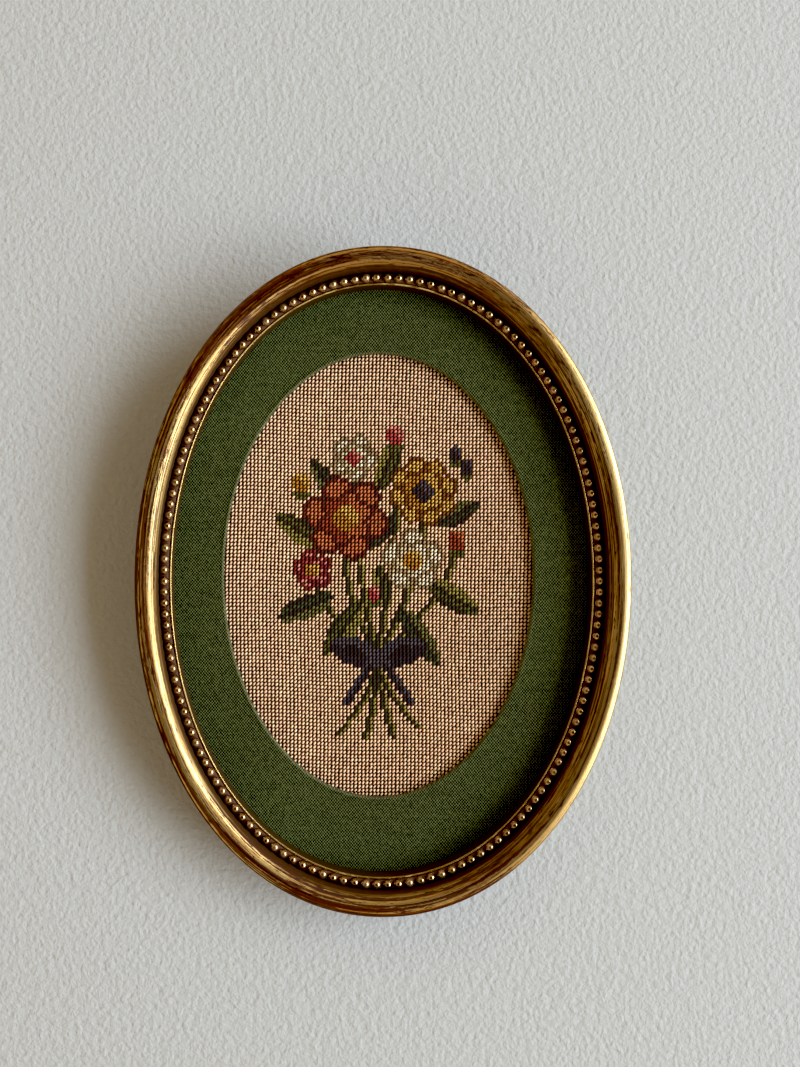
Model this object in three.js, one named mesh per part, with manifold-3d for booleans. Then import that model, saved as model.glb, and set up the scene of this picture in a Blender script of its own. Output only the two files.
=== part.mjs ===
// Small oval gilt frame with a beaded course, a cloth-covered mat and a stitched canvas.
// Millimetres, +Z up, the front faces -Y and the back lies on the plane y = 0.
import * as THREE from 'three';
import Module from 'manifold-3d';
import { mergeVertices } from 'three/addons/utils/BufferGeometryUtils.js';

const wasm = await Module();
wasm.setup();

// Oval of the sight edge, a little fuller at the haunches than an ellipse.
const SIGHT_WIDTH = 114.5;
const SIGHT_HEIGHT = 161;
const FULLNESS = 2.05;

// Rail, measured outward from the sight edge and forward from the wall.
const RAIL_WIDTH = 9.1;
const RAIL_DEPTH = 15;
const SHOULDER_HEIGHT = 14.04;
const CROWN_INSET = 2;
const SHOULDER_RADIUS = 0.7;
const ROLL_RADIUS = 4.1;
const BACK_TAPER = 0.8;
const LIP_HEIGHT = 10.5;
const LIP_UNDERSIDE = 5.9;
const LIP_OVERLAP = 4.6;

// Beads in the groove of the rail.
const BEADS = 150;
const BEAD_DIAMETER = 2.35;
const BEAD_OFFSET = 1.95;
const STRIP_WIDTH = 2.4;
const STRIP_BASE = 9.3;
const STRIP_TOP = 10.2;

// Stack in the rabbet, from the back.
const GAP = 0.3;
const BOARD_THICKNESS = 2.2;
const CANVAS_THICKNESS = 1.2;
const MAT_THICKNESS = 1.6;
const EDGE_GAP = 0.4;

// Window of the mat, an ellipse set a little above the middle.
const WINDOW_WIDTH = 86.2;
const WINDOW_HEIGHT = 123.5;
const WINDOW_X = -0.65;
const WINDOW_Z = 1.35;
const WINDOW_EDGE = 0.7;

const STEPS = 90;
const LATHE_RADIUS = 100;

const MATERIALS = {
  gilt: { color: 0x9a6a2c, roughness: 0.38, metalness: 0.75 },
  bronze: { color: 0x7d6140, roughness: 0.42, metalness: 0.7 },
  green: { color: 0x3c421d, roughness: 0.92, metalness: 0 },
  stitches: { color: 0xb08a60, roughness: 0.9, metalness: 0 },
  board: { color: 0x7a5f42, roughness: 0.85, metalness: 0 },
};

// Oval curves give a point and an outward normal for an angle from the top.
function signedPower(value, exponent) {
  return Math.sign(value) * Math.abs(value) ** exponent;
}

function oval(width, height, exponent, centreX = 0, centreZ = 0) {
  const a = width / 2;
  const b = height / 2;
  return (angle) => {
    const x = signedPower(Math.sin(angle), 2 / exponent);
    const z = signedPower(Math.cos(angle), 2 / exponent);
    const normal = new THREE.Vector2(
      signedPower(x, exponent - 1) / a,
      signedPower(z, exponent - 1) / b,
    ).normalize();
    return { point: new THREE.Vector2(centreX + a * x, centreZ + b * z), normal };
  };
}

const sightOval = oval(SIGHT_WIDTH, SIGHT_HEIGHT, FULLNESS);
const windowOval = oval(WINDOW_WIDTH, WINDOW_HEIGHT, 2, WINDOW_X, WINDOW_Z);

// Place on an oval at an offset along its normal, as a point of the plan.
function onOval(curve, angle, offset) {
  const { point, normal } = curve(angle);
  return point.addScaledVector(normal, offset);
}

// Ring swept round the ovals: each profile point names its oval, its offset and its height.
// The profile runs from the back out and over the front to the inside.
function ovalRing(profile) {
  const section = [...profile].reverse();
  const points = section.map((_, i) => {
    const turn = (i / section.length) * 2 * Math.PI;
    return new THREE.Vector2(LATHE_RADIUS + Math.cos(turn), Math.sin(turn));
  });
  const ring = new THREE.LatheGeometry([...points, points[0]], STEPS);
  const place = ring.attributes.position;
  const perStep = points.length + 1;
  for (let i = 0; i < place.count; i += 1) {
    const [curve, offset, height] = section[(i % perStep) % points.length];
    const angle = (Math.floor(i / perStep) % STEPS) * (2 * Math.PI / STEPS);
    const plan = onOval(curve, angle, offset);
    place.setXYZ(i, plan.x, -height, plan.y);
  }
  return ring;
}

// Flat oval plate between two heights.
function ovalPlate(offset, back, front) {
  const outline = [];
  for (let i = 0; i < STEPS; i += 1) {
    outline.push(onOval(sightOval, (i / STEPS) * 2 * Math.PI, offset));
  }
  const plate = new THREE.ExtrudeGeometry(new THREE.Shape(outline), {
    depth: front - back,
    bevelEnabled: false,
    steps: 1,
  });
  plate.rotateX(Math.PI / 2);
  plate.translate(0, -back, 0);
  return plate;
}

// Part of an ellipse in the profile, from one turn angle to another.
function arc(centreU, centreH, radiusU, radiusH, from, to, steps) {
  return Array.from({ length: steps + 1 }, (_, i) => {
    const turn = THREE.MathUtils.degToRad(from + ((to - from) * i) / steps);
    return [centreU + radiusU * Math.cos(turn), centreH + radiusH * Math.sin(turn)];
  });
}

function toSolid(geometry) {
  const bare = geometry.clone();
  bare.deleteAttribute('normal');
  bare.deleteAttribute('uv');
  const merged = mergeVertices(bare, 1e-4);
  return new wasm.Manifold(new wasm.Mesh({
    numProp: 3,
    vertProperties: new Float32Array(merged.attributes.position.array),
    triVerts: new Uint32Array(merged.index.array),
  }));
}

function fromSolid(solid) {
  const mesh = solid.getMesh();
  const geometry = new THREE.BufferGeometry();
  geometry.setAttribute('position', new THREE.BufferAttribute(mesh.vertProperties, 3));
  geometry.setIndex(new THREE.BufferAttribute(mesh.triVerts, 1));
  geometry.computeVertexNormals();
  return geometry;
}

// Rail: outer side, roll, groove, bead seat, fillet, bright sight edge, lip and rabbet.
function railGeometry() {
  const crownAt = RAIL_WIDTH - CROWN_INSET;
  const rollMiddle = RAIL_DEPTH - ROLL_RADIUS;
  const shoulderAt = RAIL_WIDTH - SHOULDER_RADIUS;
  const seatOuter = BEAD_OFFSET + STRIP_WIDTH / 2 + GAP;
  const seatInner = BEAD_OFFSET - STRIP_WIDTH / 2 - GAP;
  const seatFloor = STRIP_BASE - GAP;
  const profile = [
    [LIP_OVERLAP, 0],
    [RAIL_WIDTH - BACK_TAPER, 0],
    [RAIL_WIDTH - BACK_TAPER / 4, SHOULDER_HEIGHT / 2],
    ...arc(shoulderAt, SHOULDER_HEIGHT, SHOULDER_RADIUS, SHOULDER_RADIUS, 0, 68, 3),
    ...arc(crownAt, rollMiddle, ROLL_RADIUS, ROLL_RADIUS, 78, 148, 7),
    [seatOuter, STRIP_TOP + 1.6],
    [seatOuter, seatFloor],
    [seatInner, seatFloor],
    [seatInner, LIP_HEIGHT - 0.3],
    [0.28, LIP_HEIGHT],
    [0, LIP_HEIGHT - 0.15],
    [0, LIP_UNDERSIDE],
    [LIP_OVERLAP, LIP_UNDERSIDE],
  ];
  return ovalRing(profile.map(([offset, height]) => [sightOval, offset, height]));
}

// Bead strip: a flat band with domed beads at equal steps along it.
function beadAngles() {
  const fine = 4000;
  const lengths = [0];
  let last = onOval(sightOval, 0, BEAD_OFFSET);
  for (let i = 1; i <= fine; i += 1) {
    const next = onOval(sightOval, (i / fine) * 2 * Math.PI, BEAD_OFFSET);
    lengths.push(lengths[i - 1] + next.distanceTo(last));
    last = next;
  }
  const angles = [];
  let i = 0;
  for (let bead = 0; bead < BEADS; bead += 1) {
    const along = ((bead + 0.5) / BEADS) * lengths[fine];
    while (lengths[i + 1] < along) {
      i += 1;
    }
    const share = (along - lengths[i]) / (lengths[i + 1] - lengths[i]);
    angles.push(((i + share) / fine) * 2 * Math.PI);
  }
  return angles;
}

function beadGeometry() {
  const half = STRIP_WIDTH / 2;
  const band = toSolid(ovalRing([
    [BEAD_OFFSET - half, STRIP_BASE],
    [BEAD_OFFSET + half, STRIP_BASE],
    [BEAD_OFFSET + half, STRIP_TOP],
    [BEAD_OFFSET - half, STRIP_TOP],
  ].map(([offset, height]) => [sightOval, offset, height])));
  const radius = BEAD_DIAMETER / 2;
  const sunk = STRIP_TOP - STRIP_BASE - 0.3;
  const dome = new THREE.LatheGeometry([
    new THREE.Vector2(0, -sunk),
    new THREE.Vector2(radius, -sunk),
    new THREE.Vector2(radius * 0.84, radius * 0.72),
    new THREE.Vector2(0, radius * 1.2),
  ], 8);
  dome.rotateX(Math.PI);
  const bead = toSolid(dome);
  const solids = beadAngles().map((angle) => {
    const plan = onOval(sightOval, angle, BEAD_OFFSET);
    return bead.translate([plan.x, -STRIP_TOP, plan.y]);
  });
  return fromSolid(wasm.Manifold.union([band, ...solids]));
}

// Mat: a board with a window whose front edge is rounded where the cloth turns over it.
function matGeometry(back) {
  const front = back + MAT_THICKNESS;
  const outer = LIP_OVERLAP - EDGE_GAP;
  const edge = arc(WINDOW_EDGE, front - WINDOW_EDGE, WINDOW_EDGE, WINDOW_EDGE, 90, 180, 3);
  const profile = [
    [sightOval, outer, back],
    [sightOval, outer, front],
    ...edge.map(([offset, height]) => [windowOval, offset, height]),
    [windowOval, 0, back],
  ];
  return ovalRing(profile);
}

const stackEdge = LIP_OVERLAP - EDGE_GAP;
const canvasBack = BOARD_THICKNESS + GAP;
const matBack = canvasBack + CANVAS_THICKNESS + GAP;

const part = new THREE.Group();
part.name = 'framed_embroidery';

function add(name, geometry, material) {
  const mesh = new THREE.Mesh(geometry, new THREE.MeshStandardMaterial(MATERIALS[material]));
  mesh.name = name;
  part.add(mesh);
}

add('frame_rail', railGeometry(), 'gilt');
add('bead_course', beadGeometry(), 'bronze');
add('mat', matGeometry(matBack), 'green');
add('stitched_canvas', ovalPlate(stackEdge, canvasBack, canvasBack + CANVAS_THICKNESS), 'stitches');
add('back_board', ovalPlate(stackEdge, 0, BOARD_THICKNESS), 'board');

export default part;
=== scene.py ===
"""Looks of an oval gilt frame with a cloth-covered mat and a petit-point canvas."""

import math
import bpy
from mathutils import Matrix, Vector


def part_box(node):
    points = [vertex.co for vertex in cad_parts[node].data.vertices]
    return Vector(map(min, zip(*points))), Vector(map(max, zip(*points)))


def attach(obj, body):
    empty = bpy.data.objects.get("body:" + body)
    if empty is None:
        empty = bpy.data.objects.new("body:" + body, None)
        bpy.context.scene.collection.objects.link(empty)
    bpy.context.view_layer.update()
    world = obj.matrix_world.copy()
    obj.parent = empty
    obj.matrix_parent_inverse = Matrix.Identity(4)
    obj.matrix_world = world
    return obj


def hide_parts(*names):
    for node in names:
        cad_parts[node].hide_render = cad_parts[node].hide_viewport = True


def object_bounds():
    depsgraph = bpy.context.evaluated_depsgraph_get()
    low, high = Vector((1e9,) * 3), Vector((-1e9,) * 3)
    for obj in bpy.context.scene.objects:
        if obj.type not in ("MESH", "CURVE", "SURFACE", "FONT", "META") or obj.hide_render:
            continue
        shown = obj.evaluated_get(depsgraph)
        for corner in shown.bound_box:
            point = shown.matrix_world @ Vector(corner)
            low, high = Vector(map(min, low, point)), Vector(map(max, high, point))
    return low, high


bl_info = {
    "name": "Framed Embroidery",
    "version": (1, 0, 0),
    "blender": (4, 5, 0),
    "location": "View3D > Sidebar > Embroidery",
    "description": "Dresses the packed oval frame with gilding, cloth and stitches",
    "category": "Object",
}

import bmesh
import bpy
import numpy as np
from mathutils import Matrix, Vector

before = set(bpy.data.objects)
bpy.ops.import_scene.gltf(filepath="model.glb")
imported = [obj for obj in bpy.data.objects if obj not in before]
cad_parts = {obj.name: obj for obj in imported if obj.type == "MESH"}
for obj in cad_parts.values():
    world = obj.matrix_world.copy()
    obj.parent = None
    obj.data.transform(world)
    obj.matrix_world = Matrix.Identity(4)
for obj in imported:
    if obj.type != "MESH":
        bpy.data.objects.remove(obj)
CAD_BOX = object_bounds()

BODY = "root"
MM = 0.001
SPUN_RADIUS = 0.1
SEAT_GAP = 0.3 * MM
EDGE_GAP = 0.4 * MM

# Picture that the camera frames, in pixels: its size, focal length and the frame's middle in it.
PICTURE = (800, 1067)
FOCAL = 801
MIDDLE = (382.96, 581.49)


def hue(red, green, blue):
    """Linear colour of a named screen colour."""
    return tuple(
        v / 12.92 if v <= 0.04045 else ((v + 0.055) / 1.055) ** 2.4
        for v in (c / 255 for c in (red, green, blue))
    )


def length(name, description, default):
    return bpy.props.FloatProperty(
        name=name, description=description, default=default, min=0, unit="LENGTH", precision=5
    )


def colour(name, description, default):
    return bpy.props.FloatVectorProperty(
        name=name, description=description, default=default, size=3, min=0, max=1, subtype="COLOR"
    )


class RailSettings(bpy.types.PropertyGroup):
    sight_width: length("Sight width", "Width of the oval at the sight edge", 114.5 * MM)
    sight_height: length("Sight height", "Height of the oval at the sight edge", 161 * MM)
    fullness: bpy.props.FloatProperty(
        name="Fullness", description="Exponent of the oval, 2 for an ellipse", default=2.05, min=1.5, max=4
    )
    width: length("Rail width", "From the sight edge to the outer edge", 9.1 * MM)
    depth: length("Rail depth", "From the wall to the crown", 15 * MM)
    shoulder: length("Shoulder height", "Height where the roll turns into the outer side", 14.04 * MM)
    shoulder_radius: length("Shoulder radius", "Rounding of the outer edge", 0.7 * MM)
    crown: length("Crown inset", "From the outer edge to the crown", 2 * MM)
    roll: length("Roll radius", "Rounding of the roll", 4.1 * MM)
    taper: length("Back taper", "How far the outer side draws in at the wall", 0.8 * MM)
    lip: length("Lip height", "Height of the bright sight edge", 10.5 * MM)
    under: length("Lip underside", "Height of the underside of the lip", 5.9 * MM)
    overlap: length("Lip overlap", "How far the lip covers the mat", 4.6 * MM)
    leaf: colour("Gold leaf", "Clean leaf", hue(202, 174, 116))
    rubbed: colour("Rubbed leaf", "Leaf toned brown", hue(124, 76, 32))
    bole: colour("Bole", "Red-brown ground under the leaf", hue(62, 21, 12))
    patina: colour("Patina", "Dark tone in the hollows", hue(74, 50, 30))
    # Lip wall tone: patina and painted shade under the sight edge.
    lip_wall: colour("Lip wall", "Dull tone on the inner wall of the lip", hue(66, 51, 29))
    timber: colour("Timber", "Bare wood at the back", hue(128, 92, 58))


class BeadSettings(bpy.types.PropertyGroup):
    count: bpy.props.IntProperty(name="Beads", description="Beads in the course", default=150, min=3)
    diameter: length("Bead diameter", "Width of one bead", 2.6 * MM)
    offset: length("Bead line", "From the sight edge to the line of beads", 1.95 * MM)
    band: length("Band width", "Width of the strip under the beads", 2.4 * MM)
    base: length("Band base", "Height of the back of the strip", 9.3 * MM)
    top: length("Band top", "Height of the face of the strip", 10.2 * MM)
    bronze: colour("Bronze", "Rubbed tops of the beads", hue(190, 163, 126))
    # Shade tone: patina and painted shade round the feet of the beads.
    shade: colour("Shade", "Dark tone round the beads", hue(84, 50, 32))


class MatSettings(bpy.types.PropertyGroup):
    window_width: length("Window width", "Width of the window", 86.2 * MM)
    window_height: length("Window height", "Height of the window", 123.5 * MM)
    window_x: bpy.props.FloatProperty(
        name="Window across", description="Middle of the window, across", default=-0.65 * MM, unit="LENGTH"
    )
    window_z: bpy.props.FloatProperty(
        name="Window up", description="Middle of the window, up", default=1.35 * MM, unit="LENGTH"
    )
    edge: length("Turned edge", "Radius of the cloth over the window's edge", 0.7 * MM)
    warp: length("Warp repeat", "Repeat of the weave, across", 0.78 * MM)
    weft: length("Weft repeat", "Repeat of the weave, up", 0.92 * MM)
    cloth: colour("Cloth", "Body colour of the cloth", hue(101, 112, 71))
    # Near black between the threads: painted shade in the weave's hollows.
    deep: colour("Cloth hollows", "Colour between the threads", hue(5, 7, 2))
    lint: colour("Lint", "Dust and lint on the cloth", hue(168, 166, 140))


class StitchSettings(bpy.types.PropertyGroup):
    pitch: length("Stitch pitch", "Distance between stitches", 1.0583 * MM)
    thread: length("Thread width", "Width of one stitch", 0.66 * MM)
    rise: length("Stitch rise", "Height of a stitch above the canvas", 0.58 * MM)
    margin: length("Margin", "How far the stitches run on under the mat", 2 * MM)
    seed: bpy.props.IntProperty(name="Seed", description="Seed of the uneven stitches", default=7)
    ground: colour("Ground", "Tan of the ground", hue(253, 214, 180))
    # Bare canvas darkened so the holes between stitches read dark: partly painted shade.
    canvas: colour("Canvas", "Bare canvas between the stitches", hue(48, 18, 5))
    hollow: colour("Hollow", "Shade where a stitch dips into the canvas", hue(50, 17, 4))


class BoardSettings(bpy.types.PropertyGroup):
    pale: colour("Pale board", "Paler clouds of the board", hue(132, 100, 66))
    brown: colour("Brown board", "Darker clouds of the board", hue(104, 76, 48))
    fibre: colour("Fibre", "Fibres and flecks in the board", hue(84, 60, 38))


class StageSettings(bpy.types.PropertyGroup):
    lean: bpy.props.FloatProperty(
        name="Lean",
        description="How far the wall leans away behind the top of the frame",
        default=math.radians(2.7),
        subtype="ANGLE",
    )
    clear: length("Wall gap", "From the lowest point of the back to the wall", 0.6 * MM)
    daylight: colour("Daylight", "Tint of the light from the window", (0.85, 0.94, 1.0))
    lamplight: colour("Room light", "Tint of the dim room", (1.0, 0.72, 0.42))
    wall: colour("Backdrop", "Pale backdrop behind the frame", hue(183, 190, 196))
    distance: length("Camera distance", "From the wall to the camera", 228 * MM)
    black: bpy.props.FloatProperty(
        name="Black level", description="Tone that comes out black", default=0.015, min=0, max=0.2
    )
    focus: length("Framed depth", "From the wall to the depth that the framing is set by", 14.2 * MM)
    camera_x: bpy.props.FloatProperty(
        name="Camera across", description="Camera, across", default=-14 * MM, unit="LENGTH"
    )
    camera_z: bpy.props.FloatProperty(
        name="Camera up", description="Camera, up", default=8 * MM, unit="LENGTH"
    )


class EmbroiderySettings(bpy.types.PropertyGroup):
    rail: bpy.props.PointerProperty(type=RailSettings)
    beads: bpy.props.PointerProperty(type=BeadSettings)
    mat: bpy.props.PointerProperty(type=MatSettings)
    stitches: bpy.props.PointerProperty(type=StitchSettings)
    board: bpy.props.PointerProperty(type=BoardSettings)
    stage: bpy.props.PointerProperty(type=StageSettings)


class Wire:
    """Shader value whose arithmetic adds Math nodes."""

    def __init__(self, finish, socket):
        self.finish = finish
        self.socket = socket

    def maths(self, operation, *values, clamp=False):
        settings = {"operation": operation, "use_clamp": clamp}
        return self.finish.node("Math", settings, dict(enumerate(values)))

    def __add__(self, other):
        return self.maths("ADD", self, other)

    __radd__ = __add__

    def __sub__(self, other):
        return self.maths("SUBTRACT", self, other)

    def __rsub__(self, other):
        return self.maths("SUBTRACT", other, self)

    def __mul__(self, other):
        return self.maths("MULTIPLY", self, other)

    __rmul__ = __mul__

    def __truediv__(self, other):
        return self.maths("DIVIDE", self, other)

    def sine(self):
        return self.maths("SINE", self)

    def size(self):
        return self.maths("ABSOLUTE", self)

    def most(self, other):
        return self.maths("MAXIMUM", self, other)

    def held(self):
        return self.maths("ADD", self, 0.0, clamp=True)

    def over(self, low, high):
        """Smooth step from 0 at low to 1 at high."""
        settings = {"interpolation_type": "SMOOTHSTEP"}
        return self.finish.node("MapRange", settings, {0: self, 1: low, 2: high, 3: 0.0, 4: 1.0})


class Finish:
    """Material built from named nodes."""

    def __init__(self, name):
        self.block = bpy.data.materials.new(name)
        self.block.use_nodes = True
        self.tree = self.block.node_tree
        self.shader = self.tree.nodes["Principled BSDF"]

    def put(self, socket, value):
        if isinstance(value, Wire):
            self.tree.links.new(value.socket, socket)
        elif isinstance(value, (int, float)):
            socket.default_value = value
        else:
            size = len(socket.default_value)
            socket.default_value = (*value, 1.0)[:size]

    def node(self, kind, settings=None, inputs=None, output=0):
        node = self.tree.nodes.new("ShaderNode" + kind)
        for name, value in (settings or {}).items():
            setattr(node, name, value)
        for key, value in (inputs or {}).items():
            self.put(node.inputs[key], value)
        return Wire(self, node.outputs[output])

    def place(self):
        return self.node("TexCoord", output="Object")

    def attribute(self, name, output="Vector"):
        return self.node("Attribute", {"attribute_name": name}, output=output)

    def stretched(self, vector, scale):
        return self.node("Mapping", {"vector_type": "POINT"}, {"Vector": vector, "Scale": scale})

    def parts(self, vector):
        first = self.node("SeparateXYZ", inputs={0: vector})
        return [Wire(self, out) for out in first.socket.node.outputs]

    def noise(self, vector, scale, detail=3.0, roughness=0.5):
        inputs = {"Vector": vector, "Scale": scale, "Detail": detail, "Roughness": roughness}
        return self.node("TexNoise", inputs=inputs)

    def mix(self, factor, first, second):
        settings = {"data_type": "RGBA", "clamp_factor": True}
        return self.node("Mix", settings, {0: factor, 6: first, 7: second}, output=2)

    def scaled(self, tone, factor):
        """Colour made darker or lighter by a value."""
        return self.node("VectorMath", {"operation": "SCALE"}, {"Vector": tone, "Scale": factor})

    def bump(self, height, strength, distance):
        inputs = {"Height": height, "Strength": strength, "Distance": distance}
        return self.node("Bump", inputs=inputs)

    def surface(self, **inputs):
        for name, value in inputs.items():
            self.put(self.shader.inputs[name.replace("_", " ").title()], value)
        return self.block


class Surroundings(Finish):
    """World built from named nodes."""

    def __init__(self, name):
        self.block = bpy.data.worlds.new(name)
        self.block.use_nodes = True
        self.tree = self.block.node_tree
        self.shader = self.tree.nodes["Background"]


class Oval:
    """Oval in the plan, with offsets along its normals."""

    def __init__(self, width, height, fullness=2.0, x=0.0, z=0.0):
        self.half = np.array([width / 2, height / 2])
        self.fullness = fullness
        self.middle = np.array([x, z])

    def at(self, angle, offset=0.0):
        angle = np.asarray(angle, float)
        turn = np.stack([np.sin(angle), np.cos(angle)], -1)
        unit = np.sign(turn) * np.abs(turn) ** (2 / self.fullness)
        normal = np.sign(unit) * np.abs(unit) ** (self.fullness - 1) / self.half
        normal /= np.linalg.norm(normal, axis=-1, keepdims=True)
        return self.middle + unit * self.half + normal * np.asarray(offset)[..., None]

    def travel(self, offset=0.0, fine=7200):
        """Angles and the distance walked along the oval at each."""
        angle = np.linspace(0, 2 * math.pi, fine + 1)
        point = self.at(angle, np.full(fine + 1, offset))
        step = np.linalg.norm(np.diff(point, axis=0), axis=1)
        return angle, np.concatenate([[0], np.cumsum(step)])

    def inside(self, x, z, grow=0.0):
        reach = (np.stack([x, z], -1) - self.middle) / (self.half + grow)
        return (np.abs(reach) ** self.fullness).sum(-1) < 1


def settings():
    return bpy.context.scene.embroidery


def sight_oval():
    rail = settings().rail
    return Oval(rail.sight_width, rail.sight_height, rail.fullness)


def window_oval():
    mat = settings().mat
    return Oval(mat.window_width, mat.window_height, 2.0, mat.window_x, mat.window_z)


def arc(middle_u, middle_h, radius_u, radius_h, start, end, steps):
    """Points of part of an ellipse in a section."""
    turn = np.radians(np.linspace(start, end, steps + 1))
    return list(zip(middle_u + radius_u * np.cos(turn), middle_h + radius_h * np.sin(turn)))


def spun_ring(section, steps):
    """Closed section spun round the Y axis: radius past SPUN_RADIUS is the offset, -Y the height."""
    bm = bmesh.new()
    verts = [bm.verts.new((0, -height, SPUN_RADIUS + offset)) for offset, height in section]
    edges = [bm.edges.new((a, b)) for a, b in zip(verts, verts[1:] + verts[:1])]
    bmesh.ops.spin(
        bm,
        geom=verts + edges,
        cent=(0, 0, 0),
        axis=(0, 1, 0),
        angle=2 * math.pi,
        steps=steps,
        use_merge=True,
    )
    bmesh.ops.remove_doubles(bm, verts=bm.verts, dist=1e-7)
    bmesh.ops.recalc_face_normals(bm, faces=bm.faces)
    return bm


def new_piece(name, bm, smooth=True):
    mesh = bpy.data.meshes.new(name)
    bm.to_mesh(mesh)
    bm.free()
    return add_piece(name, mesh, smooth)


def add_piece(name, mesh, smooth=True):
    piece = bpy.data.objects.new(name, mesh)
    bpy.context.scene.collection.objects.link(piece)
    mesh.polygons.foreach_set("use_smooth", [smooth] * len(mesh.polygons))
    return piece


def points_of(mesh):
    points = np.empty(len(mesh.vertices) * 3)
    mesh.vertices.foreach_get("co", points)
    return points.reshape(-1, 3)


def draw_out(mesh, plan):
    """Draws a spun ring out to its plan; gives the angle, offset and height of each point."""
    points = points_of(mesh)
    angle = np.arctan2(points[:, 0], points[:, 2]) % (2 * math.pi)
    offset = np.hypot(points[:, 0], points[:, 2]) - SPUN_RADIUS
    place = plan(angle, offset)
    drawn = np.stack([place[:, 0], points[:, 1], place[:, 1]], -1)
    mesh.vertices.foreach_set("co", drawn.ravel())
    mesh.update()
    return angle, offset, -points[:, 1]


def keep_vector(mesh, name, values):
    layer = mesh.attributes.new(name, "FLOAT_VECTOR", "POINT")
    layer.data.foreach_set("vector", np.asarray(values, np.float32).ravel())


def course(oval, angle, offset):
    """Place on a circle as long as the oval, so that a pattern meets itself."""
    angles, walked = oval.travel(offset)
    turn = 2 * math.pi * np.interp(angle, angles, walked) / walked[-1]
    radius = walked[-1] / (2 * math.pi)
    return radius * np.sin(turn), radius * np.cos(turn)


def section_run(section, offset, height):
    """Distance along a closed section to the point of it nearest each place."""
    outline = np.array(section)
    walked = np.concatenate([[0], np.cumsum(np.linalg.norm(np.diff(outline, axis=0), axis=1))])
    away = np.abs(offset[:, None] - outline[:, 0]) + np.abs(height[:, None] - outline[:, 1])
    return walked[away.argmin(axis=1)]


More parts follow.
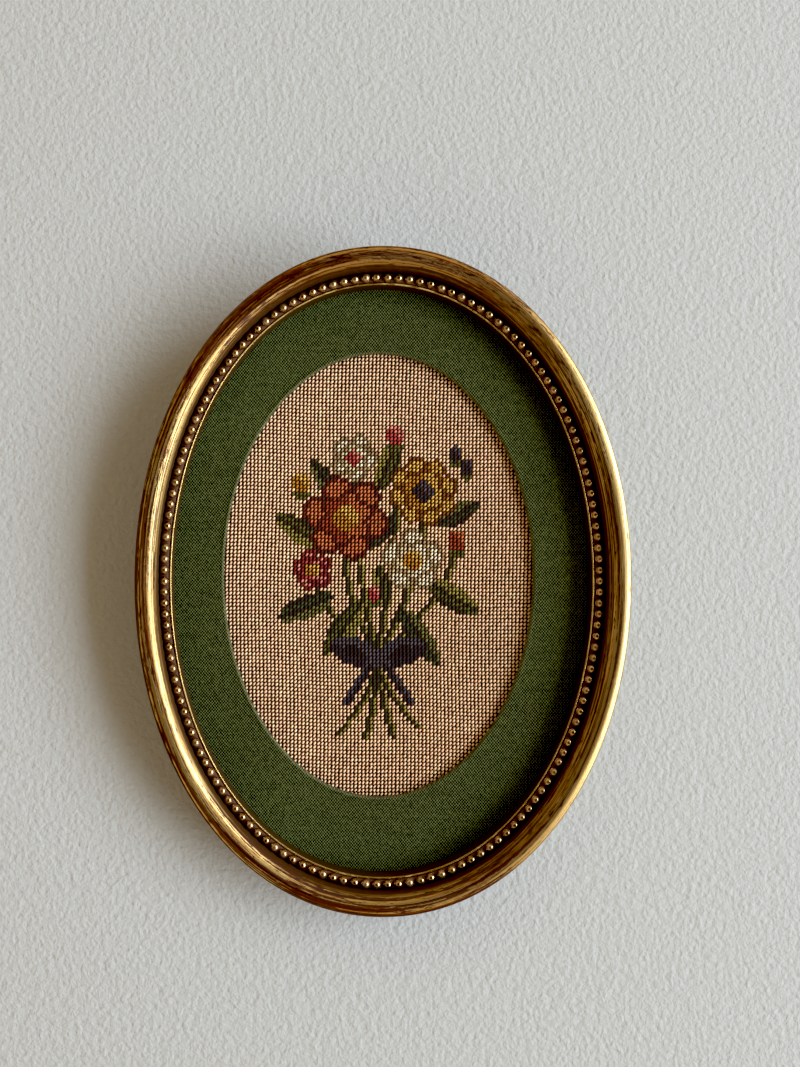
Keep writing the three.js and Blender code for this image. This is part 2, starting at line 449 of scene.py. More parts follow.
def gilding():
    """Gold leaf rubbed through to red bole, in streaks along the rail, kept clean where the window's
    highlights fall as a painted highlight.
    """
    tone = settings().rail
    finish = Finish("gilt_wood")
    lay = finish.attribute("lay")
    section = finish.attribute("section")
    offset, height, _ = finish.parts(section)
    hairs = finish.noise(finish.stretched(lay, (17.0, 17.0, 2600.0)), 1.0, 2.0, 0.5)
    streaks = finish.noise(finish.stretched(lay, (22.0, 22.0, 1650.0)), 1.0, 2.0, 0.5)
    dashes = finish.noise(finish.stretched(lay, (320.0, 320.0, 2500.0)), 1.0, 3.0, 0.6)
    drift = finish.noise(finish.stretched(lay, (28.0, 28.0, 220.0)), 1.0, 2.0)
    specks = finish.noise(lay, 2600.0, 2.0, 0.6)
    across, up, _ = finish.parts(lay)
    # Right-hand rail, which faces the window: its leaf is kept cleaner so its highlight stays bright, a
    # painted highlight.
    lit_right_side = across.over(0.02, 0.05)
    crest = 1 - ((offset - 6.7 * MM + across * 0.0125).size() / (1.5 * MM)).held()
    rim = offset.over(8.1 * MM, 8.6 * MM)
    high = up.over(0.02, 0.06)
    ragged = (dashes - 0.5) * (0.7 + high * 0.4)
    # Inner flank of the left rail, facing the window: kept as clean leaf where the window's highlight
    # falls, a painted highlight.
    flank = (0 - across).over(0.03, 0.06) * (0.52 - offset.over(5.4 * MM, 6.2 * MM) * 0.52)
    painted_highlight_zones = (lit_right_side * offset.over(6.9 * MM, 7.4 * MM)).most(flank)
    # Fewer rubbed patches and dark lines in the highlight zones and on the right rail: painted highlight.
    rubbed = (drift * 0.4 + hairs * 0.6 + ragged * 0.3).over(0.43, 0.51)
    rubbed = rubbed.most(high * 0.4) * (1 - (painted_highlight_zones * 0.9).most(lit_right_side * 0.42))
    leaf = finish.mix(rubbed, tone.leaf, tone.rubbed)
    # Wear on the crest and the rim, held back on the right rail and in the highlight zones: real wear with
    # a painted highlight.
    wear_cleared_in_highlights = (crest * (0.27 - high * 0.07)).most(rim * 0.26) * (1 - lit_right_side * 0.75) - painted_highlight_zones * 0.14 - lit_right_side * 0.06
    worn = (streaks * 1.8 - 0.9 + wear_cleared_in_highlights + ragged + (drift - 0.5) * 0.12).over(0.11, 0.14)
    body = finish.mix(worn * (0.95 - high * 0.12), leaf, tone.bole)
    lines = (hairs * 1.7 - 0.85 + ragged * 0.4).over(0.11, 0.14)
    lines = lines.most((dashes + high * crest * 0.1).over(0.61, 0.64)) * (0.95 - lit_right_side * 0.05 - painted_highlight_zones * 0.5)
    body = finish.mix(lines, body, finish.scaled(tone.bole, 0.45))
    # Patina darkening towards the groove, partly painted shade for the dark room reflected in the inner
    # slope. It is held back on the left and right rails, painted light: the window-lit left flank stays
    # bright and the shaded right inner flank is lighter.
    left_and_right_rails = across.size().over(0.03, 0.06)
    toned = (1 - offset.over(3.8 * MM, 5.6 * MM)) * (1 - left_and_right_rails * 0.8)
    body = finish.mix(toned * 0.55, body, tone.patina)
    groove = 1 - offset.over(3.5 * MM, 3.74 * MM)
    edge = (1 - offset.over(0.4 * MM, 0.46 * MM)) * height.over(10.15 * MM, 10.3 * MM)
    # Inner wall of the lip under the sight edge, in the darker lip-wall tone: patina and painted shade of
    # that recess.
    wall = (1 - offset.over(0.03 * MM, 0.12 * MM)) * (1 - height.over(10.05 * MM, 10.25 * MM))
    brim = offset.over(8.84 * MM, 9.0 * MM) * 0.75
    dark = (groove * (1 - edge) * (0.9 + drift * 0.2)).held().most(brim)
    body = finish.mix((dark + specks.over(0.62, 0.72) * 0.4 * (1 - edge)).held(), body, tone.patina)
    body = finish.mix(wall * 0.9, body, tone.lip_wall)
    bright = finish.mix(edge * (0.5 + dashes * 0.7).held(), body, tone.leaf)
    back = 1 - height.over(0.2 * MM, 0.9 * MM)
    inner = (1 - height.over(5.2 * MM, 5.7 * MM)) * (1 - offset.over(4.7 * MM, 4.9 * MM))
    bare = back.most(inner)
    grain = finish.noise(finish.stretched(finish.place(), (40.0, 200.0, 900.0)), 1.0, 4.0)
    timber = finish.mix(grain.over(0.35, 0.7), tone.timber, finish.scaled(tone.timber, 0.55))
    base = finish.mix(bare, bright, timber)
    metal = (1 - worn * 0.85) * (1 - dark * 0.9) * (1 - lines * 0.85) * (1 - bare)
    rough = (0.34 + worn * 0.12 + dark * 0.35 + hairs * 0.1 + bare * 0.35 - edge * 0.14).held()
    relief = hairs * 0.4 + dashes * 0.3 + specks * 0.15 - worn * 0.25 - lines * 0.2
    material = finish.surface(
        base_color=base,
        metallic=metal,
        roughness=rough,
        normal=finish.bump(relief, 0.4, 0.12 * MM),
    )
    finish.shader.inputs["Specular IOR Level"].default_value = 0.2
    finish.shader.inputs["Coat Weight"].default_value = 0.12
    finish.shader.inputs["Coat Roughness"].default_value = 0.28
    return material


class EMBROIDERY_OT_rail(bpy.types.Operator):
    """Makes the oval moulding with its roll, groove, sight edge and rabbet"""

    bl_idname = "embroidery.rail"
    bl_label = "Gilt rail"

    def section(self):
        r = settings().rail
        b = settings().beads
        crown = r.width - r.crown
        outer = b.offset + b.band / 2 + SEAT_GAP
        inner = b.offset - b.band / 2 - SEAT_GAP
        floor = b.base - SEAT_GAP
        side = [
            (r.overlap, 0),
            (r.overlap + 1.6 * MM, 0),
            (r.width - r.taper - 0.4 * MM, 0),
            (r.width - r.taper, 0.4 * MM),
        ]
        flank = [
            (r.width - r.taper * (1 - h / r.shoulder) ** 1.6, h)
            for h in np.linspace(0.8 * MM, r.shoulder - 0.6 * MM, 10)
        ]
        edge = r.shoulder_radius
        outside = arc(r.width - edge, r.shoulder, edge, edge, 0, 68, 7)
        roll = arc(crown, r.depth - r.roll, r.roll, r.roll, 74, 148, 30)
        groove = [
            (outer + 0.1 * MM, b.top + 2.66 * MM),
            (outer + 0.04 * MM, b.top + 2.2 * MM),
            (outer, b.top + 1.6 * MM),
            (outer, b.top),
            (outer, floor),
            (inner, floor),
            (inner, b.top - 0.2 * MM),
            (inner, b.top),
        ]
        lip = [
            (0.43 * MM, r.lip - 0.16 * MM),
            (0.36 * MM, r.lip - 0.04 * MM),
            (0.24 * MM, r.lip),
            (0.1 * MM, r.lip - 0.03 * MM),
            (0.02 * MM, r.lip - 0.12 * MM),
            (0, r.lip - 0.3 * MM),
            (0, r.lip - 2 * MM),
            (0, r.under + 0.3 * MM),
            (0.1 * MM, r.under),
            (2.4 * MM, r.under),
            (r.overlap, r.under),
            (r.overlap, 3 * MM),
        ]
        return side + flank + outside + roll + groove + lip

    def execute(self, context):
        oval = sight_oval()
        section = self.section()
        rail = new_piece("gilt_rail", spun_ring(section, 360))
        angle, offset, height = draw_out(rail.data, oval.at)
        x, z = course(oval, angle, 5 * MM)
        run = section_run(section, offset, height)
        keep_vector(rail.data, "lay", np.stack([x, z, run], -1))
        keep_vector(rail.data, "section", np.stack([offset, height, angle], -1))
        rail.data.set_sharp_from_angle(angle=math.radians(50))
        rail.data.materials.append(gilding())
        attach(rail, BODY)
        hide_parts("frame_rail")
        return {"FINISHED"}


def bead_bronze():
    """Bronze-gold beads, rubbed bright on their shoulders, dark between with patina and painted shade."""
    tone = settings().beads
    finish = Finish("gilt_beads")
    section = finish.attribute("section")
    _, rise, chance = finish.parts(section)
    place = finish.place()
    patches = finish.noise(place, 420.0, 3.0, 0.6)
    specks = finish.noise(place, 1600.0, 2.0)
    # Rubbed bright towards the tops. The feet and the strip between the beads keep the shade tone, patina
    # and painted shade.
    rubbed = rise.over(0.0, 0.2) * (0.75 + 0.25 * chance)
    rubbed = (rubbed * (0.62 + patches * 0.8)).held()
    tops = finish.mix(patches.over(0.4, 0.66), tone.bronze, finish.scaled(tone.bronze, 0.6))
    base = finish.mix(rubbed, tone.shade, tops)
    base = finish.mix(specks.over(0.6, 0.72) * 0.6, base, tone.shade)
    return finish.surface(
        base_color=base,
        metallic=0.1 + rubbed * 0.9,
        roughness=0.55 - rubbed * 0.42 + specks * 0.06,
        normal=finish.bump(patches + specks * 0.5, 0.25, 0.1 * MM),
    )


class EMBROIDERY_OT_beads(bpy.types.Operator):
    """Makes the beaded strip that lies in the groove of the rail"""

    bl_idname = "embroidery.beads"
    bl_label = "Beaded course"

    def bead(self, radius):
        """Dome that stands on the strip."""
        bm = bmesh.new()
        bmesh.ops.create_uvsphere(bm, u_segments=14, v_segments=10, radius=radius)
        cut = bmesh.ops.bisect_plane(
            bm,
            geom=bm.verts[:] + bm.edges[:] + bm.faces[:],
            plane_co=(0, 0, -radius * 0.25),
            plane_no=(0, 0, 1),
            clear_inner=True,
        )
        rim = [e for e in cut["geom_cut"] if isinstance(e, bmesh.types.BMEdge)]
        bmesh.ops.contextual_create(bm, geom=rim)
        bmesh.ops.rotate(bm, cent=(0, 0, 0), matrix=Matrix.Rotation(math.pi / 2, 3, "X"), verts=bm.verts)
        bmesh.ops.recalc_face_normals(bm, faces=bm.faces)
        return bm

    def execute(self, context):
        b = settings().beads
        oval = sight_oval()
        half = b.band / 2
        ease = 0.12 * MM
        strip = [
            (b.offset + half, b.base),
            (b.offset + half, b.top - ease),
            (b.offset + half - ease, b.top),
            (b.offset - half + ease, b.top),
            (b.offset - half, b.top - ease),
            (b.offset - half, b.base),
        ]
        band = bpy.data.meshes.new("band")
        bm = spun_ring(strip, 360)
        bm.to_mesh(band)
        bm.free()
        draw_out(band, oval.at)
        radius = b.diameter / 2
        dome = bpy.data.meshes.new("dome")
        bm = self.bead(radius)
        bm.to_mesh(dome)
        bm.free()
        angles, walked = oval.travel(b.offset)
        chance = np.random.default_rng(3)
        joined = bmesh.new()
        joined.from_mesh(band)
        count = [len(joined.verts)]
        for turn in np.interp((np.arange(b.count) + 0.5) / b.count * walked[-1], walked, angles):
            x, z = oval.at(turn, b.offset) + chance.normal(0, 0.03 * MM, 2)
            dome.transform(Matrix.Translation((x, -b.top, z)))
            joined.from_mesh(dome)
            dome.transform(Matrix.Translation((-x, b.top, -z)))
            count.append(len(joined.verts))
        beads = new_piece("gilt_bead_course", joined)
        rise = (-points_of(beads.data)[:, 1] - b.top) / radius
        lot = np.repeat([0.5, *chance.uniform(0.2, 1, b.count)], np.diff([0, *count]))
        keep_vector(beads.data, "section", np.stack([rise * 0, np.clip(rise, 0, 1), lot], -1))
        beads.data.set_sharp_from_angle(angle=math.radians(60))
        beads.data.materials.append(bead_bronze())
        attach(beads, BODY)
        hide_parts("bead_course")
        return {"FINISHED"}


def green_cloth():
    """Fine plain weave, near black between the threads as painted shade, with a little lint and a paler
    turned edge that is partly a painted highlight.
    """
    tone = settings().mat
    finish = Finish("green_cloth")
    place = finish.place()
    x, _, z = finish.parts(place)
    wander = finish.noise(place, 700.0, 2.0) * 1.8 + finish.noise(place, 45.0, 2.0) * 2.6
    ribs = (x * (2 * math.pi / tone.warp) + wander).sine()
    picks = (z * (2 * math.pi / tone.weft) + wander * 1.2 + 1.7).sine()
    weave = ribs * picks
    slub = finish.noise(finish.stretched(place, (60.0, 60.0, 1600.0)), 1.0, 2.0)
    fibre = finish.noise(place, 1500.0, 2.0, 0.6)
    cloudy = finish.noise(place, 28.0, 3.0)
    raised = (weave * 0.5 + 0.5) * 0.7 + fibre * 0.5 + slub * 0.1 + cloudy * 0.1
    # Threads in the cloth colour, with hollows near black as painted shade.
    body = finish.mix(raised.over(0.62, 0.92), tone.deep, tone.cloth)
    # Paler turned edge of the window: lint, and partly a painted highlight of the lit edge.
    edge_lint_and_highlight = 1 - finish.parts(finish.attribute("section"))[0].over(0.15 * MM, 0.6 * MM)
    body = finish.mix(edge_lint_and_highlight * 0.14, body, tone.lint)
    fluff = finish.noise(place, 900.0, 2.0, 0.7).over(0.75, 0.78)
    dusty = finish.noise(place, 36.0, 1.0).over(0.45, 0.75)
    base = finish.mix(fluff * dusty * 0.5, body, tone.lint)
    material = finish.surface(
        base_color=base,
        roughness=0.86 + slub * 0.08,
        normal=finish.bump(raised, 0.8, 0.2 * MM),
    )
    finish.shader.inputs["Specular IOR Level"].default_value = 0.2
    return material


class EMBROIDERY_OT_mat(bpy.types.Operator):
    """Makes the cloth-covered mat with its oval window"""

    bl_idname = "embroidery.mat"
    bl_label = "Cloth mat"

    def execute(self, context):
        m = settings().mat
        low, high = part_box("mat")
        back, front = -high[1], -low[1]
        reach = settings().rail.overlap - EDGE_GAP
        span = 20 * MM
        window, sight = window_oval(), sight_oval()

        def plan(angle, offset):
            near = window.at(angle, np.minimum(offset, m.edge))
            far = sight.at(angle, np.full(len(angle), reach))
            share = np.clip((offset - m.edge) / (span - m.edge), 0, 1)[:, None]
            return near * (1 - share) + far * share

        flat = [(u, front) for u in np.linspace(span - 0.3 * MM, m.edge + 1 * MM, 12)]
        under = [(u, back) for u in np.linspace(0, span, 8)]
        edge = arc(m.edge, front - m.edge, m.edge, m.edge, 90, 180, 8)
        section = under + [(span, front - 0.3 * MM)] + flat + edge
        mat = new_piece("green_mat", spun_ring(section, 240))
        angle, offset, _ = draw_out(mat.data, plan)
        keep_vector(mat.data, "section", np.stack([offset, offset * 0, angle], -1))
        points = points_of(mat.data)
        top = (points[:, 1] < low[1] + 0.5 * MM) & (offset > m.edge)
        slack = 0.04 * MM * (np.sin(angle * 5 + 1) * np.sin(angle * 3) + np.sin(angle * 8))
        points[:, 1] += np.where(top, 0.08 * MM + slack, 0)
        mat.data.vertices.foreach_set("co", points.ravel())
        mat.data.set_sharp_from_angle(angle=math.radians(60))
        mat.data.materials.append(green_cloth())
        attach(mat, BODY)
        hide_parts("mat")
        window_area = math.pi / 4 * m.window_width * m.window_height
        turn = np.linspace(0, 2 * math.pi, 721)[:-1]
        rim = sight.at(turn, np.full(720, reach))
        after = np.roll(rim, -1, axis=0)
        whole = abs((rim[:, 0] * after[:, 1] - rim[:, 1] * after[:, 0]).sum()) / 2
        whole - window_area
        return {"FINISHED"}


# Threads of the design: a deep, a middle and a light shade of each.
THREADS = {
    "leaf": (hue(46, 54, 26), hue(92, 100, 46), hue(150, 146, 78)),
    "fern": (hue(30, 42, 30), hue(62, 80, 48), hue(112, 120, 70)),
    "rust": (hue(92, 30, 18), hue(156, 66, 36), hue(204, 116, 74)),
    "gold": (hue(124, 76, 22), hue(188, 132, 42), hue(226, 184, 96)),
    "cream": (hue(170, 148, 112), hue(222, 208, 172), hue(246, 238, 212)),
    "pink": (hue(128, 34, 42), hue(190, 72, 76), hue(226, 138, 128)),
    "ink": (hue(20, 20, 28), hue(38, 40, 54), hue(76, 80, 96)),
}

# Flowers, in stitches from the middle of the window:
# across, up, radius, petals, turn, thread of the petals, thread of the eye.
FLOWERS = (
    (-9.0, 15.0, 11.5, 6, 0.2, "rust", "gold"),
    (11.5, 22.5, 9.5, 8, 0.5, "gold", "ink"),
    (9.0, 4.0, 8.5, 5, 0.9, "cream", "gold"),
    (-7.0, 31.0, 6.5, 5, 0.1, "cream", "pink"),
    (-17.5, 1.0, 5.5, 5, 0.7, "pink", "gold"),
)

# Buds: across, up, radius, thread.
BUDS = (
    (4.0, 37.0, 2.6, "pink"),
    (20.5, 10.0, 2.8, "rust"),
    (-21.0, 24.0, 2.6, "gold"),
    (20.0, 33.0, 2.2, "ink"),
    (23.0, 29.5, 2.0, "ink"),
    (-1.0, -5.0, 2.2, "pink"),
)

# Leaves: across, up, half length, half width, slant in degrees, thread.
LEAVES = (
    (-21.0, 11.0, 8.0, 3.2, 150, "leaf"),
    (-19.0, -9.0, 8.5, 3.0, 205, "fern"),
    (19.5, -5.0, 8.5, 3.3, -28, "leaf"),
    (20.5, 17.0, 7.0, 2.8, 30, "fern"),
    (2.0, 29.0, 7.5, 2.8, 70, "leaf"),
    (-15.0, 25.5, 6.0, 2.4, 125, "fern"),
    (0.5, 11.5, 6.5, 2.6, 50, "fern"),
    (-9.0, -14.0, 9.0, 3.2, 235, "leaf"),
    (11.0, -16.0, 9.0, 3.0, -55, "fern"),
    (1.0, -3.0, 6.0, 2.4, 100, "leaf"),
)

# Stems: end across, end up, bend, all from the tie.
STEMS = (
    (-9.0, 12.0, -3.0),
    (11.5, 20.0, 4.0),
    (9.0, 2.0, 2.0),
    (-7.0, 30.0, -2.0),
    (-17.5, -1.0, -3.0),
    (4.0, 36.0, 2.0),
    (20.5, 8.0, 5.0),
    (-10.5, -42.0, 1.5),
    (-3.5, -43.5, 0.5),
    (4.0, -43.0, -0.5),
    (11.0, -40.5, -1.5),
)
TIE = (0.0, -22.0)


class Chart:
    """Thread and shade of every stitch, worked out from the flowers, leaves and stems."""

    def __init__(self, across, up):
        self.across = across
        self.up = up
        self.names = ["ground", *THREADS]
        self.thread = np.zeros(across.shape, int)
        self.shade = np.ones(across.shape, int)

    def fill(self, where, name, shade):
        self.thread[where] = self.names.index(name)
        self.shade[where] = np.broadcast_to(shade, where.shape)[where]

    def from_point(self, x, z, turn=0.0):
        a, u = self.across - x, self.up - z
        cos, sin = math.cos(turn), math.sin(turn)
        return a * cos + u * sin, u * cos - a * sin

    def stems(self):
        for x, z, bend in STEMS:
            low, high = sorted((TIE[1], z))
            share = np.clip((self.up - TIE[1]) / (z - TIE[1]), 0, 1)
            line = TIE[0] + (x - TIE[0]) * share ** 1.15 + bend * np.sin(math.pi * share)
            off = self.across - line
            where = (np.abs(off) < 0.95) & (self.up >= low) & (self.up <= high)
            self.fill(where, "leaf", np.where(off > 0, 2, 0))

    def leaves(self):
        for x, z, long, wide, slant, name in LEAVES:
            along, side = self.from_point(x, z, math.radians(slant))
            body = np.abs(side) < wide * np.clip(1 - (along / long) ** 2, 0, 1) ** 0.8
            where = body & (np.abs(along) < long)
            shade = np.where(side > 0.6, 2, 1)
            shade = np.where(np.abs(side - 0.1) < 0.5, 0, shade)
            self.fill(where, name, np.where(side < -wide * 0.55, 0, shade))

    def flowers(self):
        for x, z, radius, petals, turn, name, eye in FLOWERS:
            a, u = self.from_point(x, z)
            reach = np.hypot(a, u)
            angle = np.arctan2(u, a) + turn
            lobe = np.abs(np.cos(angle * petals / 2))
            outline = radius * (0.72 + 0.28 * lobe ** 0.7)
            inner = radius * 0.62 * (0.74 + 0.26 * np.abs(np.sin(angle * petals / 2)))
            shade = np.where(reach > outline - 1.1, 0, np.where(lobe > 0.5, 2, 1))
            shade = np.where(np.abs(reach - inner) < 0.55, 0, shade)
            shade = np.where(reach < inner - 0.5, np.where(a > 0, 2, 1), shade)
            self.fill(reach < outline, name, shade)
            self.fill(reach < radius * 0.26 + 0.4, eye, np.where(a + u > 0, 2, 1))

    def buds(self):
        for x, z, radius, name in BUDS:
            a, u = self.from_point(x, z)
            self.fill(np.hypot(a, u + radius) < radius * 0.8, "leaf", 1)
            self.fill(np.hypot(a * 1.15, u) < radius, name, np.where(a + u > 0.5, 2, 1))

    def bow(self):
        for side in (-1, 1):
            along, off = self.from_point(side * 6.5, TIE[1] + 1.8, side * 0.35)
            ring = np.hypot(along / 6.4, off / 3.6)
            self.fill(ring < 1, "ink", np.where(off > 0, 2, 1))
            self.fill(ring < 0.42, "ink", 0)
            tail = self.across - side * (1.2 + (TIE[1] - self.up) * 0.62)
            hang = (self.up < TIE[1]) & (self.up > TIE[1] - 12.5)
            self.fill(hang & (np.abs(tail) < 1.3), "ink", np.where(tail * side > 0, 2, 1))
        self.fill(np.hypot(*self.from_point(*TIE)) < 2.4, "ink", 2)

    def draw(self):
        self.stems()
        self.leaves()
        self.flowers()
        self.buds()
        self.bow()
        return self


def thread_finish(name):
    """Twisted wool whose colour comes with each stitch, darker as painted shade where each strand sinks
    into the canvas.
    """
    finish = Finish(name)
    tone = finish.attribute("dye", "Color")
    run, depth, chance = finish.parts(finish.attribute("ply"))
    place = finish.place()
    twist = (run * 26 + chance * 6).sine()
    fuzz = finish.noise(place, 5200.0, 2.0)
    cloudy = finish.noise(place, 70.0, 3.0)
    # Uneven dye, twist and fuzz, times a painted shade that darkens each strand towards its low sides and
    # ends.
    uneven_dye_and_shade = (0.86 + cloudy * 0.3 + twist * 0.04 + fuzz * 0.12) * (0.4 + depth.over(-0.1, 0.75) * 0.6)
    # Hollow colour mixed in where the strand dips into the canvas: painted shade.
    sunk = (1 - depth.over(-0.1, 0.6)) * 0.7
    material = finish.surface(
        base_color=finish.mix(sunk, finish.scaled(tone, uneven_dye_and_shade), settings().stitches.hollow),
        roughness=0.74 + fuzz * 0.2,
        normal=finish.bump(twist * 0.5 + fuzz * 0.6, 0.3, 0.06 * MM),
    )
    finish.shader.inputs["Sheen Weight"].default_value = 0.1
    return material


def canvas_finish():
    """Brown canvas of crossed threads, near black in the holes between them as painted shade."""
    tone = settings().stitches
    finish = Finish("bare_canvas")
    place = finish.place()
    x, _, z = finish.parts(place)
    around = 2 * math.pi / tone.pitch
    mesh = (x * around).sine().most((z * around).sine())
    fuzz = finish.noise(place, 2200.0, 3.0)
    raised = (mesh * 0.5 + 0.5) * 0.8 + fuzz * 0.3
    # Holes between the threads darkened to a tenth of the canvas colour: painted shade.
    base = finish.mix(raised.over(0.3, 0.9), finish.scaled(tone.canvas, 0.1), tone.canvas)
    return finish.surface(
        base_color=base,
        roughness=0.85 + fuzz * 0.1,
        normal=finish.bump(raised, 0.7, 0.2 * MM),
    )


class EMBROIDERY_OT_canvas(bpy.types.Operator):
    """Makes the stretched canvas, its tan ground and its stitched design"""

    bl_idname = "embroidery.canvas"
    bl_label = "Stitched canvas"

    SPANS = 6
    SIDES = 4

    def plate(self, back, front):
        """Thin oval of bare canvas."""
        oval, reach = sight_oval(), settings().rail.overlap - EDGE_GAP
        bm = bmesh.new()
        bmesh.ops.create_circle(bm, cap_ends=True, cap_tris=False, segments=240, radius=1)
        turn = np.array([math.atan2(v.co.x, v.co.y) for v in bm.verts])
        for vert, place in zip(bm.verts, oval.at(turn, np.full(len(turn), reach))):
            vert.co = (place[0], -back, place[1])
        edge = [v.co.copy() for v in bm.verts]
        area = abs(sum(a.x * b.z - a.z * b.x for a, b in zip(edge, edge[1:] + edge[:1]))) / 2
        raised = bmesh.ops.extrude_face_region(bm, geom=bm.faces[:])
        moved = [v for v in raised["geom"] if isinstance(v, bmesh.types.BMVert)]
        bmesh.ops.translate(bm, verts=moved, vec=(0, back - front, 0))
        bmesh.ops.recalc_face_normals(bm, faces=bm.faces)
        return bm, area

    def grid(self):
        """Middles of the stitches that show, as stitch counts and as places."""
        s = settings().stitches
        window = window_oval()
        counts = np.mgrid[-60:61, -80:81].reshape(2, -1)
        across, up = counts[0].astype(float), counts[1].astype(float)
        x, z = across * s.pitch, up * s.pitch
        x = x + 0.16 * s.pitch * np.sin(up * 0.11 + across * 0.02) + 0.018 * z * (z > 0)
        z = z - 0.03 * x + 0.22 * s.pitch * np.sin(across * 0.17 + up * 0.015 + 0.6)
        place = np.stack([x, z], -1) + window.middle
        keep = window.inside(place[:, 0], place[:, 1], s.margin)
        return across[keep], up[keep], place[keep]

    def stitches(self, name, place, dye, chance, height):
        """Joined slanting stitches, each an arched strand with its ends sunk in the canvas."""
        s = settings().stitches
        count = len(place)
        along = np.linspace(-1, 1, self.SPANS)
        around = np.linspace(0, math.pi, self.SIDES)
        swell = np.sqrt(np.clip(1 - (along * 0.93) ** 2, 0, 1))
        slant = np.radians(56 + chance.normal(0, 4, count))
        long = s.pitch * (0.55 + chance.normal(0, 0.03, count))
        wide = s.thread / 2 * (1 + chance.normal(0, 0.06, count))
        tall = s.rise * (1 + chance.normal(0, 0.07, count))
        middle = place + chance.normal(0, 0.025, (count, 2)) * s.pitch
        run = long[:, None, None] * along[None, :, None]
        side = wide[:, None, None] * swell[None, :, None] * np.cos(around)[None, None, :]
        hump = np.clip(1 - (along * 0.97) ** 2, 0, 1)
        lift = tall[:, None, None] * hump[None, :, None] * np.sin(around)[None, None, :]
        cos, sin = np.cos(slant)[:, None, None], np.sin(slant)[:, None, None]
        x = middle[:, 0, None, None] + run * cos - side * sin
        z = middle[:, 1, None, None] + run * sin + side * cos
        y = -height - lift + 0.05 * MM
        points = np.stack(np.broadcast_arrays(x, y, z), -1).reshape(-1, 3)
        i, j = np.meshgrid(np.arange(self.SPANS - 1), np.arange(self.SIDES - 1), indexing="ij")
        first = (i * self.SIDES + j).ravel()
        quad = np.stack([first, first + 1, first + 1 + self.SIDES, first + self.SIDES], -1)
        faces = quad[None] + (np.arange(count) * self.SPANS * self.SIDES)[:, None, None]
        mesh = bpy.data.meshes.new(name)
        mesh.from_pydata(points.tolist(), [], faces.reshape(-1, 4).tolist())
        per = self.SPANS * self.SIDES
        strand = np.broadcast_to(along[:, None] + 0.35 * np.cos(around)[None], (self.SPANS, self.SIDES))
        ply = np.stack(
            [
                np.tile(strand.ravel(), count),
                np.tile(np.outer(hump, np.sin(around)).ravel(), count),
                np.repeat(chance.uniform(0, 1, count), per),
            ],
            -1,
        )
        keep_vector(mesh, "ply", ply)
        layer = mesh.color_attributes.new("dye", "FLOAT_COLOR", "POINT")
        rgba = np.repeat(np.concatenate([dye, np.ones((count, 1))], 1), per, axis=0)
        layer.data.foreach_set("color", rgba.astype(np.float32).ravel())
        piece = add_piece(name, mesh)
        mesh.materials.append(thread_finish(name + "_wool"))
        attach(piece, BODY)
        return piece

    def execute(self, context):
        s = settings().stitches
        low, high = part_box("stitched_canvas")
        back, front = -high[1], -low[1]
        top = front - s.rise + 0.02 * MM
        bm, area = self.plate(back, top)
        canvas = new_piece("petit_point_canvas", bm, smooth=False)
        canvas.data.materials.append(canvas_finish())
        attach(canvas, BODY)
        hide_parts("stitched_canvas")
        chance = np.random.default_rng(s.seed)
        across, up, place = self.grid()
        chart = Chart(across, up).draw()
        shades = np.array([[tuple(s.ground)] * 3, *THREADS.values()])
        dye = shades[chart.thread, chart.shade]
        dye = dye * chance.normal(1, 0.07, (len(dye), 1)) * chance.normal(1, 0.02, (len(dye), 3))
        plain = chart.thread == 0
        for name, where in (("tan_ground_stitches", plain), ("design_stitches", ~plain)):
            piece = self.stitches(name, place[where], np.clip(dye[where], 0, 1), chance, top)
        return {"FINISHED"}


def board_finish():
    """Plain brown board with a soft fibre."""
    tone = settings().board
    finish = Finish("board")
    place = finish.place()
    fibre = finish.noise(finish.stretched(place, (500.0, 500.0, 130.0)), 1.0, 5.0, 0.65)
    cloudy = finish.noise(place, 30.0, 4.0)
    flecks = finish.noise(place, 800.0, 2.0).over(0.66, 0.74)
    body = finish.mix(cloudy.over(0.3, 0.72), tone.pale, tone.brown)
    base = finish.mix(fibre.over(0.3, 0.8) * 0.5 + flecks * 0.25, body, tone.fibre)
    return finish.surface(
        base_color=base,
        roughness=0.78 + fibre * 0.15,
        normal=finish.bump(fibre + flecks * 0.3, 0.25, 0.15 * MM),
    )


class EMBROIDERY_OT_board(bpy.types.Operator):
    """Finishes the plain board that closes the back"""

    bl_idname = "embroidery.board"
    bl_label = "Back board"

    def execute(self, context):
        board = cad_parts["back_board"]
        material = board_finish()
        for slot in board.material_slots:
            slot.material = material
        return {"FINISHED"}


def backdrop_finish():
    """Pale plaster, clear from behind so that the back can be seen."""
    finish = Finish("pale_backdrop")
    place = finish.place()
    grit = finish.noise(place, 900.0, 4.0, 0.6)
    peel = finish.noise(place, 620.0, 2.0, 0.5)
    tone = settings().stage.wall
    finish.surface(
        base_color=finish.mix(grit.over(0.3, 0.75), finish.scaled(tone, 0.93), tone),
        roughness=0.9,
        normal=finish.bump(grit * 0.4 + peel, 0.8, 0.6 * MM),
    )
    behind = finish.node("NewGeometry", output="Backfacing")
    clear = finish.node("BsdfTransparent")
    both = finish.node("MixShader", inputs={0: behind, 1: Wire(finish, finish.shader.outputs[0]), 2: clear})
    finish.tree.links.new(both.socket, finish.tree.nodes["Material Output"].inputs["Surface"])
    return finish.block


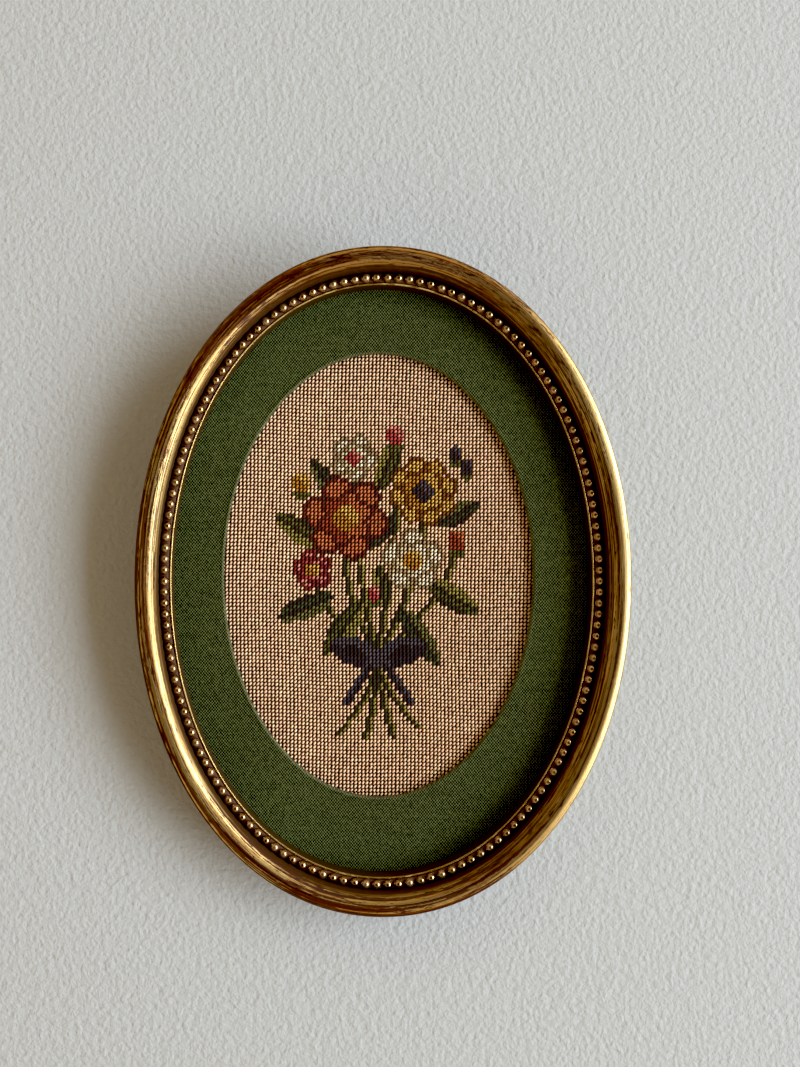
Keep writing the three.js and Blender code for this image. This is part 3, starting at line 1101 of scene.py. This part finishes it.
class EMBROIDERY_OT_stage(bpy.types.Operator):
    """Sets up the pale backdrop, the soft light and the camera"""

    bl_idname = "embroidery.stage"
    bl_label = "Stage"

    def backdrop(self):
        bm = bmesh.new()
        st = settings().stage
        lean = math.tan(st.lean)
        half_wide, half_tall, foot = 0.7, 0.6, CAD_BOX[0][2]
        profile = [(st.clear + (z - foot) * lean, z) for z in (half_tall, -half_tall)]
        verts = [bm.verts.new((-half_wide, y, z)) for y, z in profile]
        edges = [bm.edges.new(pair) for pair in zip(verts, verts[1:])]
        swept = bmesh.ops.extrude_edge_only(bm, edges=edges)
        moved = [v for v in swept["geom"] if isinstance(v, bmesh.types.BMVert)]
        bmesh.ops.translate(bm, verts=moved, vec=(2 * half_wide, 0, 0))
        bmesh.ops.recalc_face_normals(bm, faces=bm.faces)
        bm.faces.ensure_lookup_table()
        if bm.faces[0].normal.y > 0:
            bmesh.ops.reverse_faces(bm, faces=bm.faces)
        drop = new_piece("pale_backdrop", bm)
        drop.data.materials.append(backdrop_finish())
        drop.visible_shadow = False

    def light(self, name, place, size, power, tint=(1, 1, 1)):
        """Soft light that faces the frame."""
        lamp = bpy.data.lights.new(name, "AREA")
        lamp.shape = "RECTANGLE"
        lamp.size, lamp.size_y = size
        lamp.energy = power
        lamp.color = tint
        holder = bpy.data.objects.new(name, lamp)
        holder.location = place
        holder.rotation_euler = (-Vector(place)).to_track_quat("-Z", "Y").to_euler()
        holder.visible_camera = False
        bpy.context.scene.collection.objects.link(holder)

    def room(self):
        """Warm dim room, dark in front, at the left and close to the wall."""
        room = Surroundings("dim_room")
        x, y, _ = room.parts(room.node("TexCoord", output="Generated"))
        ring = (0.06 + y.over(-0.92, -0.62) * 1.08) * (1 - y.over(-0.5, -0.15) * 0.7)
        ring = ring * (1 - y.over(-0.1, 0.05) * 0.9)
        side = 0.6 + x.over(-0.85, -0.45) * 0.4
        return room.surface(color=settings().stage.lamplight, strength=ring * side)

    def execute(self, context):
        st = settings().stage
        self.backdrop()
        self.light("window", (2.47, -1.7, 0.02), (1.45, 3.0), 146.0, st.daylight)
        self.light("behind", (0.0, 1.3, 0.05), (0.5, 0.5), 12.0)
        context.scene.world = self.room()
        lens = bpy.data.cameras.new("camera")
        lens.sensor_fit = "VERTICAL"
        lens.sensor_height = 36
        wide, tall = PICTURE
        lens.lens = FOCAL / tall * lens.sensor_height
        scale = (st.distance - st.focus) / FOCAL
        lens.shift_x = (-st.camera_x / scale - MIDDLE[0] + wide / 2) / tall
        lens.shift_y = (-st.camera_z / scale + MIDDLE[1] - tall / 2) / tall
        lens.clip_start = 0.01
        holder = bpy.data.objects.new("camera", lens)
        holder.location = (st.camera_x, -st.distance, st.camera_z)
        holder.rotation_euler = (math.pi / 2, 0, 0)
        context.scene.collection.objects.link(holder)
        context.scene.camera = holder
        view = context.scene.view_settings
        view.view_transform = "Standard"
        view.use_curve_mapping = True
        view.curve_mapping.black_level = (st.black, st.black, st.black)
        view.curve_mapping.update()
        return {"FINISHED"}


class EMBROIDERY_PT_panel(bpy.types.Panel):
    """Sizes, colours and steps of the framed embroidery"""

    bl_label = "Framed Embroidery"
    bl_idname = "EMBROIDERY_PT_panel"
    bl_space_type = "VIEW_3D"
    bl_region_type = "UI"
    bl_category = "Embroidery"

    def draw(self, context):
        for operator in OPERATORS:
            self.layout.operator(operator.bl_idname)
        for group in ("rail", "beads", "mat", "stitches", "board", "stage"):
            box = self.layout.box()
            values = getattr(context.scene.embroidery, group)
            for name in values.__annotations__:
                box.prop(values, name)


OPERATORS = (
    EMBROIDERY_OT_rail,
    EMBROIDERY_OT_beads,
    EMBROIDERY_OT_canvas,
    EMBROIDERY_OT_mat,
    EMBROIDERY_OT_board,
    EMBROIDERY_OT_stage,
)
CLASSES = (
    RailSettings,
    BeadSettings,
    MatSettings,
    StitchSettings,
    BoardSettings,
    StageSettings,
    EmbroiderySettings,
    *OPERATORS,
    EMBROIDERY_PT_panel,
)


def register():
    for item in CLASSES:
        bpy.utils.register_class(item)
    bpy.types.Scene.embroidery = bpy.props.PointerProperty(type=EmbroiderySettings)


def unregister():
    del bpy.types.Scene.embroidery
    for item in reversed(CLASSES):
        bpy.utils.unregister_class(item)


def main():
    register()
    for operator in OPERATORS:
        group, name = operator.bl_idname.split(".")
        getattr(getattr(bpy.ops, group), name)()


if __name__ == "__main__":
    main()
